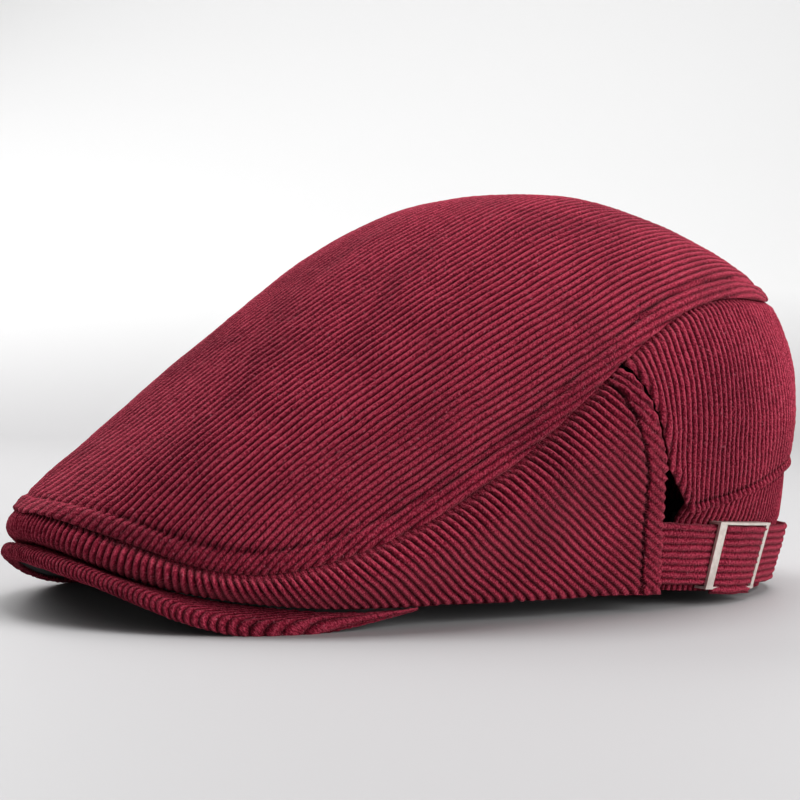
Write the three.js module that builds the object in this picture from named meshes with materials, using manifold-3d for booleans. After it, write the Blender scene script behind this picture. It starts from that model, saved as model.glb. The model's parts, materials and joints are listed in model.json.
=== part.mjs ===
// A corduroy flat cap with a stiff peak, and a buckled strap across the opening at the back left.
// Millimetres. The peak points along -Y, the wearer's left is +X, and the cap rests on z = 0.
import * as THREE from "three";
import { mergeVertices } from "three/addons/utils/BufferGeometryUtils.js";
import Module from "manifold-3d";

// ---- Driving dimensions ----

// Half outlines on the wearer's left. Station 0 is the centre front and station 6 the centre back.
// A station past 6 comes back to the front along the wearer's right, and 12 is the front again.
const BACK_STATION = 6;
const TOP_SEAM = [
  [0, -130, 32], [47, -112, 24.2], [79, -80, 18.3], [96, -20, 45.5], [93, 41, 89], [65, 95, 94], [0, 125, 97],
];
const LOWER_EDGE = [
  [0, -122, 20.5], [44, -107, 12.5], [72, -75, 7.3], [80, -36, 6.5], [83, 30, 6.5], [66, 95, 2], [0, 122, 0],
];
// The peak ends short of station 3. Past that its outline only closes the curve, inside the cap.
const PEAK_OUTLINE = [
  [0, -132, 16.5], [46, -118, 9.6], [76, -80, -0.3], [77, -12, 10], [70, 40, 12], [50, 80, 12], [0, 100, 12],
];

// Height of the top panel's centre line, and how far the wall bulges low down and high up.
const CREST_HEIGHT = [32, 46, 69, 112, 129, 110, 97];
const LOW_BULGE = [5, 4, 4, 3, 1, 1, 1];
const HIGH_BULGE = [1, 2, 4, 9, 11, 8, 11];
// Makes the low bulge full at a third of the wall's height and the high bulge full at two thirds.
const BULGE_SHAPE = 27 / 4;
const ARCH_SHOULDER = 2.4;
const ARCH_ROUNDNESS = 0.625;
// The layers under the top panel close up to a point where the panel rises less than this above its seam.
const FULL_DEPTH_RISE = 6;

const CLOTH = 1.6;
const LINING = 0.8;
const TOP_LINING_DEPTH = 2.2;
const WALL_LINING_DEPTH = 3.9;
const SEAM_GAP = 0.4;

// The hems of the left side panel and the back panel run down together from the top seam,
// and part company at the bend.
const HEM_LOW_STATION = 4.18;
const HEM_SLOPE = 0.43;
const HEM_BEND_HEIGHT = 0.46;
const HEM_BEND = 0.27;
const BACK_HEM_SPREAD = 0.8;
const PANEL_GAP = 0.03;
const CENTRE_FRONT_GAP = 0.004;
const RIDGE_HEIGHT = 0.28;
const RIDGE_RISE = 0.15;
const RIDGE_STATIONS = [4.15, 5.25];
const RIGHT_SEAM_STATION = 2 * BACK_STATION - HEM_LOW_STATION;

// The strap's outer face is part of a cone. The buckle slides round it, about the cone's axis.
const STRAP_AXIS_POINT = new THREE.Vector3(-3.5, 45, 6);
const STRAP_AXIS_TILT = THREE.MathUtils.degToRad(4.5);
const STRAP_RADIUS = 84;
const STRAP_LEAN = 0.22;
const STRAP_THICKNESS = 2;
const STRAP_LOW = 2.0;
const STRAP_HIGH = 20.8;
const STRAP_STATIONS = [3.99, RIGHT_SEAM_STATION - 0.02];
const STRAP_LEAVES_CONE = 5.15;
const STRAP_JOINS_WALL = 5.6;

const BAND_DEPTH = 3.9;
const BAND_THICKNESS = 1.4;
const BAND_STATIONS = [4.24, RIGHT_SEAM_STATION + 0.02];
const BAND_STEP_HEIGHT = 22.5;
const BAND_STEP = 0.65;
const BAND_TUCK = 0.07;
const BAND_TUCK_DEPTH = 2.4;

const BUCKLE_START = 10.3;
const BUCKLE_END = 27.8;
const FRONT_BAR = 2;
const REAR_BAR = 1.3;
const CENTRE_BAR = 1.6;
const BUCKLE_GAP = 0.3;
const BAR_THICKNESS = 1;
const RAIL_THICKNESS = 0.8;
const BAR_INSET = 0.1;

const PEAK_END = 0.98;
const PEAK_INNER_STATION = 3.02;
const PEAK_OUTER_STATION = 2.66;
const PEAK_THICKNESS = 5;
const PEAK_TUCK = 3;
const PEAK_DROP = 0.9;
const PEAK_FULL_WIDTH = 12;
const PEAK_LIP = 4;
const LIP_SHARE = 0.35;
// Shares of the way round a slice of the peak's cover where the edge roll starts and ends.
const ROLL_START = 0.45;
const ROLL_END = 0.85;
const PEAK_CLOTH = 1.4;
const BOARD_THICKNESS = 1.2;
const UNDER_COVER_DEPTHS = [1.25, 2.05];
const LAYER_SET_BACK = 0.06;

const LINING_HEIGHTS = [0.1, 0.96];
const LINING_SET_BACK = 0.2;
const LINING_CLEARANCE = 0.03;
const SWEATBAND_DEPTH = 6;
const SWEATBAND_LEAN = 0.5;
const SWEATBAND_HEIGHTS = [0.6, 20];
const SWEATBAND_STATION = 3.95;
const BACK_SWEATBAND_DEPTH = 5.8;
const BACK_SWEATBAND_HEIGHTS = [0.6, 24];

// The cloth settles this far, and is pressed flat where it meets the table.
const SETTLE = 0.4;

// ---- Curves ----

// A smooth closed curve through half outline points and their mirror image.
function ring(half) {
  const mirrored = half.slice(1, -1).reverse().map(([x, y, z]) => [-x, y, z]);
  const points = [...half, ...mirrored].map((p) => new THREE.Vector3(...p));
  const count = points.length;
  const bend = points.map(() => new THREE.Vector3());
  const passes = 80;
  for (let pass = 0; pass < passes; pass += 1) {
    for (let i = 0; i < count; i += 1) {
      const before = (i + count - 1) % count;
      const after = (i + 1) % count;
      bend[i].copy(points[before]).addScaledVector(points[i], -2).add(points[after]).multiplyScalar(6);
      bend[i].sub(bend[before]).sub(bend[after]).divideScalar(4);
    }
  }
  return (station) => {
    const wrapped = ((station % count) + count) % count;
    const i = Math.floor(wrapped);
    const j = (i + 1) % count;
    const u = wrapped - i;
    const v = 1 - u;
    return new THREE.Vector3()
      .addScaledVector(points[i], v)
      .addScaledVector(points[j], u)
      .addScaledVector(bend[i], (v ** 3 - v) / 6)
      .addScaledVector(bend[j], (u ** 3 - u) / 6);
  };
}

// The same for a number that varies round the cap.
function ringNumber(half) {
  const curve = ring(half.map((value) => [0, 0, value]));
  return (station) => curve(station).z;
}

const topSeam = ring(TOP_SEAM);
const lowerEdge = ring(LOWER_EDGE);
const peakOutline = ring(PEAK_OUTLINE);
const crestHeight = ringNumber(CREST_HEIGHT);
const lowBulge = ringNumber(LOW_BULGE);
const highBulge = ringNumber(HIGH_BULGE);

// Level direction out of the cap, square to a curve.
function outward(curve, station) {
  const step = 0.001;
  const along = curve(station + step).sub(curve(station - step));
  return new THREE.Vector3(along.y, -along.x, 0).normalize();
}

// ---- Surfaces ----

// The wall between the lower edge (height 0) and the top seam (height 1), depth millimetres inside its face.
function wall(station, height, depth = 0) {
  const seam = topSeam(station);
  seam.z -= SEAM_GAP;
  const low = lowBulge(station) * (1 - height);
  const high = highBulge(station) * height;
  const bulge = BULGE_SHAPE * height * (1 - height) * (low + high);
  return lowerEdge(station).lerp(seam, height).addScaledVector(outward(lowerEdge, station), bulge - depth);
}

// The top panel. Across runs from -1 on the wearer's right edge to 1 on the left edge.
function crown(station, across, depth = 0) {
  const edge = topSeam(station).addScaledVector(outward(topSeam, station), -depth);
  const outerRise = crestHeight(station) - edge.z;
  const rise = outerRise - depth * Math.min(1, outerRise / FULL_DEPTH_RISE);
  const arch = Math.max(0, 1 - Math.abs(across) ** ARCH_SHOULDER) ** ARCH_ROUNDNESS;
  return new THREE.Vector3(edge.x * across, edge.y, edge.z + rise * arch);
}

const STRAP_UP = new THREE.Vector3(0, Math.sin(STRAP_AXIS_TILT), Math.cos(STRAP_AXIS_TILT));
const STRAP_BACK = new THREE.Vector3(0, Math.cos(STRAP_AXIS_TILT), -Math.sin(STRAP_AXIS_TILT));

// A point on the strap's cone at an angle from +X, a height up the axis, and a depth inside its face.
function strapCone(angle, height, depth) {
  const radius = STRAP_RADIUS + height * STRAP_LEAN - depth;
  return STRAP_AXIS_POINT.clone()
    .addScaledVector(STRAP_UP, height)
    .addScaledVector(STRAP_BACK, radius * Math.sin(angle))
    .add(new THREE.Vector3(radius * Math.cos(angle), 0, 0));
}

// The strap follows its cone at the left, then the foot of the wall round the back.
function strapPath(station, height, depth) {
  const foot = lowerEdge(station);
  const angle = Math.atan2(foot.y - STRAP_AXIS_POINT.y, foot.x - STRAP_AXIS_POINT.x);
  const onWall = foot.clone().addScaledVector(outward(lowerEdge, station), height * STRAP_LEAN - depth);
  onWall.z += height;
  const blend = THREE.MathUtils.smoothstep(station, STRAP_LEAVES_CONE, STRAP_JOINS_WALL);
  return strapCone(angle, height, depth).lerp(onWall, blend);
}

// Station of the left side panel's rear edge, and of the back panel's front edge, at a wall height.
function sideHem(height) {
  return HEM_LOW_STATION - HEM_SLOPE * height - HEM_BEND * Math.max(0, height - HEM_BEND_HEIGHT);
}

function backHem(height) {
  return sideHem(height) + PANEL_GAP + BACK_HEM_SPREAD * Math.max(0, HEM_BEND_HEIGHT - height);
}

// Station of the plain seam on the wearer's right, where the left side has its hems.
function rightSeam(height) {
  return 2 * BACK_STATION - sideHem(height);
}

// Wall height of the back panel's folded lower edge, which rises towards the back.
function ridge(station) {
  return RIDGE_HEIGHT + RIDGE_RISE * THREE.MathUtils.smoothstep(station, ...RIDGE_STATIONS);
}

// ---- Solids ----

// A closed shell between an outer and an inner face, each given by face(i, j) with i and j from 0 to 1.
// Seen from outside, i runs to the right and j runs up.
function shell(outer, inner, columns, rows) {
  const positions = [];
  const faces = [];
  const stride = rows + 1;
  const perFace = (columns + 1) * stride;
  for (const face of [outer, inner]) {
    for (let i = 0; i <= columns; i += 1) {
      for (let j = 0; j <= rows; j += 1) {
        positions.push(...face(i / columns, j / rows).toArray());
      }
    }
  }
  const quad = (a, b, c, d) => faces.push(a, b, c, a, c, d);
  const at = (i, j) => i * stride + j;
  for (let i = 0; i < columns; i += 1) {
    for (let j = 0; j < rows; j += 1) {
      const corners = [at(i, j), at(i + 1, j), at(i + 1, j + 1), at(i, j + 1)];
      quad(...corners);
      quad(...corners.map((index) => index + perFace).reverse());
    }
  }
  const rim = (a, b) => quad(b, a, a + perFace, b + perFace);
  for (let i = 0; i < columns; i += 1) {
    rim(at(i, 0), at(i + 1, 0));
    rim(at(i + 1, rows), at(i, rows));
  }
  for (let j = 0; j < rows; j += 1) {
    rim(at(columns, j), at(columns, j + 1));
    rim(at(0, j + 1), at(0, j));
  }
  return closed(positions, faces);
}

// Joins equal corners and drops the triangles that this leaves with no area.
function closed(positions, faces) {
  const geometry = new THREE.BufferGeometry();
  geometry.setAttribute("position", new THREE.Float32BufferAttribute(positions, 3));
  geometry.setIndex(faces);
  const merged = mergeVertices(geometry, 0.0001);
  const index = merged.getIndex().array;
  const kept = [];
  for (let t = 0; t < index.length; t += 3) {
    const [a, b, c] = [index[t], index[t + 1], index[t + 2]];
    if (a !== b && b !== c && c !== a) kept.push(a, b, c);
  }
  merged.setIndex(kept);
  return merged;
}

function toManifold(wasm, geometry) {
  return new wasm.Manifold(new wasm.Mesh({
    numProp: 3,
    vertProperties: new Float32Array(geometry.getAttribute("position").array),
    triVerts: new Uint32Array(geometry.getIndex().array),
  }));
}

function fromManifold(solid) {
  const mesh = solid.getMesh();
  const geometry = new THREE.BufferGeometry();
  geometry.setAttribute("position", new THREE.Float32BufferAttribute(mesh.vertProperties, 3));
  geometry.setIndex(Array.from(mesh.triVerts));
  return geometry;
}

const mix = THREE.MathUtils.lerp;

// A panel of the wall. left and right give its end stations at a height, low and high its heights at a station.
function wallPanel({ left, right, low, high, depth, thickness, columns, rows }) {
  const face = (extra) => (i, j) => {
    const height = mix(low(mix(left(0), right(0), i)), high(mix(left(1), right(1), i)), j);
    return wall(mix(left(height), right(height), i), height, depth + extra);
  };
  return shell(face(0), face(thickness), columns, rows);
}

function crownPanel(depth, thickness, columns, rows) {
  const face = (extra) => (i, j) => crown(BACK_STATION * i, Math.sin((0.5 - j) * Math.PI), depth + extra);
  return shell(face(0), face(thickness), columns, rows);
}

// ---- Cloth outside ----

function makeTopPanel() {
  return crownPanel(0, CLOTH, 32, 22);
}

function makeSidePanelLeft() {
  return wallPanel({
    left: () => CENTRE_FRONT_GAP, right: sideHem, low: () => 0, high: () => 1,
    depth: 0, thickness: CLOTH, columns: 24, rows: 5,
  });
}

function makeSidePanelRight() {
  return wallPanel({
    left: rightSeam, right: () => 2 * BACK_STATION - CENTRE_FRONT_GAP,
    low: () => 0, high: () => 1,
    depth: 0, thickness: CLOTH, columns: 24, rows: 5,
  });
}

function makeBackPanel() {
  return wallPanel({
    left: backHem, right: (height) => rightSeam(height) - PANEL_GAP, low: ridge, high: () => 1,
    depth: 0, thickness: CLOTH, columns: 22, rows: 6,
  });
}

// The band stands behind the strap, then steps out to tuck up behind the back panel's folded edge.
function bandPoint(station, climb, depth) {
  if (climb <= BAND_STEP) return strapPath(station, (BAND_STEP_HEIGHT * climb) / BAND_STEP, depth);
  const tucked = wall(station, ridge(station) + BAND_TUCK, depth - BAND_DEPTH + BAND_TUCK_DEPTH);
  return strapPath(station, BAND_STEP_HEIGHT, depth).lerp(tucked, (climb - BAND_STEP) / (1 - BAND_STEP));
}

function makeBackBand() {
  const [start, end] = BAND_STATIONS;
  const face = (depth) => (i, j) => bandPoint(mix(start, end, i), j, depth);
  return shell(face(BAND_DEPTH), face(BAND_DEPTH + BAND_THICKNESS), 24, 6);
}

// ---- Adjuster ----

function makeStrap() {
  const [start, end] = STRAP_STATIONS;
  const face = (depth) => (i, j) => strapPath(mix(start, end, i), mix(STRAP_LOW, STRAP_HIGH, j), depth);
  return shell(face(0), face(STRAP_THICKNESS), 40, 1);
}

// A block of the buckle between two angles, two heights and two depths of the strap's cone.
function buckleBlock(angles, heights, depths, columns) {
  const face = (depth) => (i, j) => {
    const angle = THREE.MathUtils.degToRad(mix(angles[0], angles[1], i));
    return strapCone(angle, mix(heights[0], heights[1], j), depth);
  };
  return shell(face(depths[0]), face(depths[1]), columns, 1);
}

function makeBuckle(wasm) {
  const low = STRAP_LOW - BUCKLE_GAP;
  const high = STRAP_HIGH + BUCKLE_GAP;
  const outerLow = low - RAIL_THICKNESS;
  const outerHigh = high + RAIL_THICKNESS;
  const outside = [-BUCKLE_GAP - BAR_THICKNESS, -BUCKLE_GAP];
  const inside = [STRAP_THICKNESS + BUCKLE_GAP, STRAP_THICKNESS + BUCKLE_GAP + BAR_THICKNESS];
  const through = [outside[0] - BAR_INSET, inside[1] + BAR_INSET];
  const span = [outerLow + 2 * BAR_INSET, outerHigh - 2 * BAR_INSET];
  const start = BUCKLE_START + BAR_INSET;
  const end = BUCKLE_END - BAR_INSET;
  const middle = (BUCKLE_START + BUCKLE_END) / 2;
  const blocks = [
    buckleBlock([start, start + FRONT_BAR], span, outside, 1),
    buckleBlock([end - REAR_BAR, end], span, outside, 1),
    buckleBlock([middle - CENTRE_BAR / 2, middle + CENTRE_BAR / 2], span, inside, 1),
    buckleBlock([BUCKLE_START, BUCKLE_END], [outerLow, low], through, 7),
    buckleBlock([BUCKLE_START, BUCKLE_END], [high, outerHigh], through, 7),
  ];
  const solids = blocks.map((block) => toManifold(wasm, block));
  return fromManifold(solids.reduce((whole, block) => whole.add(block)));
}

// ---- Peak ----

// A slice across the peak. Reach runs out from the crown to the middle of the edge roll, rise is square to it.
function peakSlice(side) {
  const foot = lowerEdge(side * PEAK_INNER_STATION);
  const inner = foot.clone().addScaledVector(outward(lowerEdge, side * PEAK_INNER_STATION), -PEAK_TUCK);
  const edge = peakOutline(side * PEAK_OUTER_STATION);
  const level = edge.clone().sub(inner).setZ(0);
  const scale = Math.min(1, level.length() / PEAK_FULL_WIDTH);
  const half = (scale * PEAK_THICKNESS) / 2;
  inner.z = foot.z - PEAK_DROP - half;
  const roll = edge.clone().addScaledVector(level.normalize(), -half);
  roll.z += half;
  const reach = roll.clone().sub(inner);
  const length = reach.length();
  reach.normalize();
  const rise = level.cross(new THREE.Vector3(0, 0, 1)).cross(reach).normalize();
  const at = (out, up) => inner.clone().addScaledVector(reach, out).addScaledVector(rise, up);
  return { at, length, scale, half };
}

// The outline of the peak's top cover in a slice: along the top, round the edge, and back along the lip.
function coverPoint(side, travel, depth) {
  const { at, length, scale, half } = peakSlice(side);
  const radius = half - depth * scale;
  const lip = Math.min(PEAK_LIP * scale, LIP_SHARE * length);
  if (travel <= ROLL_START) return at((length * travel) / ROLL_START, radius);
  if (travel >= ROLL_END) return at(length - (lip * (travel - ROLL_END)) / (1 - ROLL_END), -radius);
  const turn = (Math.PI * (travel - ROLL_START)) / (ROLL_END - ROLL_START);
  return at(length + radius * Math.sin(turn), radius * Math.cos(turn));
}

function peakAcross(i, end) {
  return mix(-end, end, i);
}

function makePeakTopCover() {
  const face = (depth) => (i, j) => coverPoint(peakAcross(i, PEAK_END), 1 - j, depth);
  return shell(face(0), face(PEAK_CLOTH), 32, 20);
}

// A flat layer of the peak, between two rises above the slice's middle, stopping short of the edge roll.
function peakLayer(upper, lower, short) {
  const end = PEAK_END - LAYER_SET_BACK;
  const face = (rise) => (i, j) => {
    const { at, length, scale } = peakSlice(peakAcross(i, end));
    return at((length - short * scale) * (1 - j), rise * scale);
  };
  return shell(face(upper), face(lower), 28, 1);
}

function makePeakBoard() {
  return peakLayer(BOARD_THICKNESS / 2, -BOARD_THICKNESS / 2, 0);
}

function makePeakUnderCover() {
  const [near, far] = UNDER_COVER_DEPTHS;
  return peakLayer(-near, -far, PEAK_LIP + SEAM_GAP);
}

// ---- Inside ----

function makeLiningTop() {
  return crownPanel(TOP_LINING_DEPTH, LINING, 20, 12);
}

function makeSideLining(left, right) {
  return wallPanel({
    left, right, low: () => LINING_HEIGHTS[0], high: () => LINING_HEIGHTS[1],
    depth: WALL_LINING_DEPTH, thickness: LINING, columns: 18, rows: 3,
  });
}

function makeLiningSideLeft() {
  return makeSideLining(() => PANEL_GAP, (height) => sideHem(height) - LINING_SET_BACK);
}

function makeLiningSideRight() {
  const seam = (height) => rightSeam(height) + LINING_SET_BACK;
  return makeSideLining(seam, () => 2 * BACK_STATION - PANEL_GAP);
}

function makeLiningBack() {
  return wallPanel({
    left: (height) => backHem(height) + 2 * PANEL_GAP,
    right: (height) => rightSeam(height) + LINING_SET_BACK / 2,
    low: (station) => ridge(station) + BAND_TUCK + LINING_CLEARANCE,
    high: () => LINING_HEIGHTS[1],
    depth: WALL_LINING_DEPTH, thickness: LINING, columns: 16, rows: 3,
  });
}

// The sweatband leans in from the lower edge to lie against the head.
function makeSweatband() {
  const face = (extra) => (i, j) => {
    const station = mix(-SWEATBAND_STATION, SWEATBAND_STATION, i);
    const height = mix(...SWEATBAND_HEIGHTS, j);
    const point = lowerEdge(station);
    point.addScaledVector(outward(lowerEdge, station), -SWEATBAND_DEPTH - extra - SWEATBAND_LEAN * height);
    point.z += height;
    return point;
  };
  return shell(face(0), face(LINING), 30, 1);
}

function makeSweatbandBack() {
  const [start, end] = BAND_STATIONS;
  const face = (depth) => (i, j) => strapPath(mix(start, end, i), mix(...BACK_SWEATBAND_HEIGHTS, j), depth);
  return shell(face(BACK_SWEATBAND_DEPTH), face(BACK_SWEATBAND_DEPTH + LINING), 24, 1);
}

// ---- Materials and assembly ----

const MATERIALS = {
  corduroy: { color: 0x7a2438, roughness: 0.95, metalness: 0 },
  strapCorduroy: { color: 0x742235, roughness: 0.95, metalness: 0 },
  nickel: { color: 0xcfc4bb, roughness: 0.35, metalness: 1 },
  blackCloth: { color: 0x16131a, roughness: 0.9, metalness: 0 },
  board: { color: 0xd8d4cc, roughness: 0.6, metalness: 0 },
  sweatCloth: { color: 0x1d1a20, roughness: 0.85, metalness: 0 },
};

// Lowers the cap onto the table and presses what meets it flat.
function settle(geometry) {
  const position = geometry.getAttribute("position");
  for (let i = 0; i < position.count; i += 1) {
    position.setZ(i, Math.max(0, position.getZ(i) - SETTLE));
  }
}

function addPiece(cap, name, geometry, material) {
  settle(geometry);
  geometry.computeVertexNormals();
  const mesh = new THREE.Mesh(geometry, new THREE.MeshStandardMaterial(MATERIALS[material]));
  mesh.name = name;
  cap.add(mesh);
}

const wasm = await Module();
wasm.setup();

const cap = new THREE.Group();
cap.name = "flat_cap";
addPiece(cap, "top_panel", makeTopPanel(), "corduroy");
addPiece(cap, "side_panel_left", makeSidePanelLeft(), "corduroy");
addPiece(cap, "side_panel_right", makeSidePanelRight(), "corduroy");
addPiece(cap, "back_panel", makeBackPanel(), "corduroy");
addPiece(cap, "back_band", makeBackBand(), "corduroy");
addPiece(cap, "adjust_strap", makeStrap(), "strapCorduroy");
addPiece(cap, "slide_buckle", makeBuckle(wasm), "nickel");
addPiece(cap, "peak_top_cover", makePeakTopCover(), "corduroy");
addPiece(cap, "peak_board", makePeakBoard(), "board");
addPiece(cap, "peak_under_cover", makePeakUnderCover(), "blackCloth");
addPiece(cap, "lining_top", makeLiningTop(), "blackCloth");
addPiece(cap, "lining_side_left", makeLiningSideLeft(), "blackCloth");
addPiece(cap, "lining_side_right", makeLiningSideRight(), "blackCloth");
addPiece(cap, "lining_back", makeLiningBack(), "blackCloth");
addPiece(cap, "sweatband", makeSweatband(), "sweatCloth");
addPiece(cap, "sweatband_back", makeSweatbandBack(), "sweatCloth");

export default cap;
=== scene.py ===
"""The looks of a corduroy flat cap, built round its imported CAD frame.

Lengths are in millimetres until mesh() turns them into metres.
"""
import json
import math

import bpy
import numpy as np
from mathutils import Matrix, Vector, kdtree, noise

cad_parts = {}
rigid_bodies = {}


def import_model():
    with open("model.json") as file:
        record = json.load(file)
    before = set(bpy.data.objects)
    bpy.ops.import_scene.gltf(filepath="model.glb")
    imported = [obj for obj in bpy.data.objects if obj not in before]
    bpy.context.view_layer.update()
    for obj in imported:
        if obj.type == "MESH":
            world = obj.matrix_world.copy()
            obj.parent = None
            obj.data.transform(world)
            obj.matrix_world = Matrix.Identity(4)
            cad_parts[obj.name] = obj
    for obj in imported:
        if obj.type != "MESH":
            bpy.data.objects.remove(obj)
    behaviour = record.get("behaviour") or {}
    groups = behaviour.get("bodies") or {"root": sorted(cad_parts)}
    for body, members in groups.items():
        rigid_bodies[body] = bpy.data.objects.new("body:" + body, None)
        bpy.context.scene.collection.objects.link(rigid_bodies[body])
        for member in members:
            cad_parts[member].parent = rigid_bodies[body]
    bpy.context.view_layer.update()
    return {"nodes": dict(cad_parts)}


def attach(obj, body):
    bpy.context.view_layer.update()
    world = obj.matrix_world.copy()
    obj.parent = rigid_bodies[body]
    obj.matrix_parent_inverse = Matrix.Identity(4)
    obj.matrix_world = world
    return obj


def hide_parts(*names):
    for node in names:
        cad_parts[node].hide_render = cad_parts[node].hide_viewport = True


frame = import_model()

MM = 0.001
BACK = 6.0
FULL_ROUND = 2 * BACK

# ---- The cap's outlines: the same half curves and sizes as the CAD, from station 0 in front to 6 behind ----

TOP_SEAM = [
    (0, -130, 32), (47, -112, 24.2), (79, -80, 18.3), (96, -20, 45.5),
    (93, 41, 89), (65, 95, 94), (0, 125, 97),
]
LOWER_EDGE = [
    (0, -122, 20.5), (44, -107, 12.5), (72, -75, 7.3), (80, -36, 6.5),
    (83, 30, 6.5), (66, 95, 2), (0, 122, 0),
]
PEAK_OUTLINE = [
    (0, -132, 16.5), (46, -118, 9.6), (76, -80, -0.3), (77, -12, 10),
    (70, 40, 12), (50, 80, 12), (0, 100, 12),
]
CREST_HEIGHT = [32, 46, 69, 112, 129, 110, 97]
LOW_BULGE = [5, 4, 4, 3, 1, 1, 1]
HIGH_BULGE = [1, 2, 4, 9, 11, 8, 11]
BULGE_SHAPE = 6.75
ARCH_SHOULDER = 2.4
ARCH_ROUNDNESS = 0.625
FULL_DEPTH_RISE = 6
SETTLE = 0.4

CLOTH = 1.6
LINING = 0.8
TOP_LINING_DEPTH = 2.2
WALL_LINING_DEPTH = 3.9
HEM_LOW_STATION = 4.18
HEM_SLOPE = 0.43
HEM_BEND_HEIGHT = 0.46
HEM_BEND = 0.27
BACK_HEM_SPREAD = 0.8
RIDGE_HEIGHT = 0.28
RIDGE_RISE = 0.15
RIDGE_STATIONS = (4.15, 5.25)
PANEL_GAP = 0.03
RIGHT_SEAM_GAP = 0.004
RIGHT_SEAM_STATION = FULL_ROUND - HEM_LOW_STATION

STRAP_AXIS_POINT = np.array([-3.5, 45.0, 6.0])
STRAP_AXIS_TILT = math.radians(4.5)
STRAP_RADIUS = 84.0
STRAP_LEAN = 0.22
STRAP_LOW = 2.0
STRAP_HIGH = 20.8
STRAP_STATIONS = (3.99, RIGHT_SEAM_STATION - 0.02)
STRAP_WALES = 9
STRAP_LEAVES_CONE = 5.15
STRAP_JOINS_WALL = 5.6
BAND_STATIONS = (4.24, RIGHT_SEAM_STATION + 0.02)
BAND_DEPTH = 3.9
BAND_THICKNESS = 1.4
BAND_STEP_HEIGHT = 22.5
BAND_STEP = 0.65
BAND_TUCK = 0.07
BAND_TUCK_DEPTH = 2.4
BUCKLE_ANGLES = (10.3, 27.8)
BUCKLE_FRONT_BAR = 2.0
BUCKLE_REAR_BAR = 1.3

PEAK_END = 0.98
PEAK_INNER_STATION = 3.02
PEAK_OUTER_STATION = 2.66
PEAK_THICKNESS = 5.0
PEAK_TUCK = 3.0
PEAK_DROP = 0.9
PEAK_FULL_WIDTH = 12.0
PEAK_LIP = 4.0
PEAK_TOP_END = 0.45
PEAK_ROLL_END = 0.85
PEAK_LIP_SHARE = 0.35
PEAK_COVER_CLOTH = 1.0
PEAK_UNDER_SET_BACK = 1.0
PEAK_UNDER_SAG = 1.9

SWEATBAND_DEPTH = 6.0
SWEATBAND_LEAN = 0.5
SWEATBAND_HEIGHTS = (0.6, 20)
SWEATBAND_STATION = 3.95
BACK_SWEATBAND_DEPTH = 5.8
BACK_SWEATBAND_HEIGHTS = (0.6, 24)

WALE = 2.4
WALE_RELIEF = 0.75


# ---- Curves ----

def ring(half):
    """A smooth closed curve through half outline points and their mirror image, over stations 0 to 12."""
    half = np.array(half, float)
    points = np.vstack([half, half[5:0:-1] * np.array([-1, 1, 1])])
    count = len(points)
    bend = np.zeros_like(points)
    for _ in range(80):
        for i in range(count):
            after = (i + 1) % count
            bend[i] = (6 * (points[i - 1] - 2 * points[i] + points[after]) - bend[i - 1] - bend[after]) / 4

    def curve(station):
        wrapped = np.asarray(station, float) % count
        i = np.floor(wrapped).astype(int) % count
        j = (i + 1) % count
        u = (wrapped - np.floor(wrapped))[..., None]
        v = 1 - u
        return v * points[i] + u * points[j] + (v**3 - v) / 6 * bend[i] + (u**3 - u) / 6 * bend[j]

    return curve


def ring_number(half):
    curve = ring([(0, 0, value) for value in half])
    return lambda station: curve(station)[..., 2]


top_seam = ring(TOP_SEAM)
lower_edge = ring(LOWER_EDGE)
peak_outline = ring(PEAK_OUTLINE)
crest_height = ring_number(CREST_HEIGHT)
low_bulge = ring_number(LOW_BULGE)
high_bulge = ring_number(HIGH_BULGE)


def smoothstep(x, low, high):
    t = np.clip((x - low) / (high - low), 0, 1)
    return t * t * (3 - 2 * t)


def outward(curve, station):
    """Level direction out of the cap, square to a curve."""
    step = 0.001
    along = curve(station + step) - curve(station - step)
    out = np.stack([along[..., 1], -along[..., 0], 0 * along[..., 0]], -1)
    return out / np.linalg.norm(out, axis=-1, keepdims=True)


# ---- Surfaces, each a function of (a, r, depth): a runs along a row, r picks the row ----

def wall(station, height, depth=0.0):
    station, height = np.broadcast_arrays(np.asarray(station, float), np.asarray(height, float))
    low = low_bulge(station) * (1 - height)
    high = high_bulge(station) * height
    bulge = BULGE_SHAPE * height * (1 - height) * (low + high)
    h = height[..., None]
    base = lower_edge(station) * (1 - h) + top_seam(station) * h
    return base + outward(lower_edge, station) * (bulge - depth)[..., None]


def crown(across, station, depth=0.0):
    across, station = np.broadcast_arrays(np.asarray(across, float), np.asarray(station, float))
    edge = top_seam(station) - outward(top_seam, station) * depth
    outer_rise = crest_height(station) - edge[..., 2]
    rise = outer_rise - depth * np.clip(outer_rise / FULL_DEPTH_RISE, 0, 1)
    arch = np.maximum(0, 1 - np.abs(across) ** ARCH_SHOULDER) ** ARCH_ROUNDNESS
    return np.stack([edge[..., 0] * across, edge[..., 1], edge[..., 2] + rise * arch], -1)


STRAP_UP = np.array([0, math.sin(STRAP_AXIS_TILT), math.cos(STRAP_AXIS_TILT)])
STRAP_BACK = np.array([0, math.cos(STRAP_AXIS_TILT), -math.sin(STRAP_AXIS_TILT)])
STRAP_SIDE = np.array([1.0, 0, 0])


def strap_cone(angle, height, depth):
    angle, height, depth = np.broadcast_arrays(*(np.asarray(x, float) for x in (angle, height, depth)))
    radius = STRAP_RADIUS + height * STRAP_LEAN - depth
    return (
        STRAP_AXIS_POINT
        + STRAP_UP * height[..., None]
        + STRAP_BACK * (radius * np.sin(angle))[..., None]
        + STRAP_SIDE * (radius * np.cos(angle))[..., None]
    )


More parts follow.
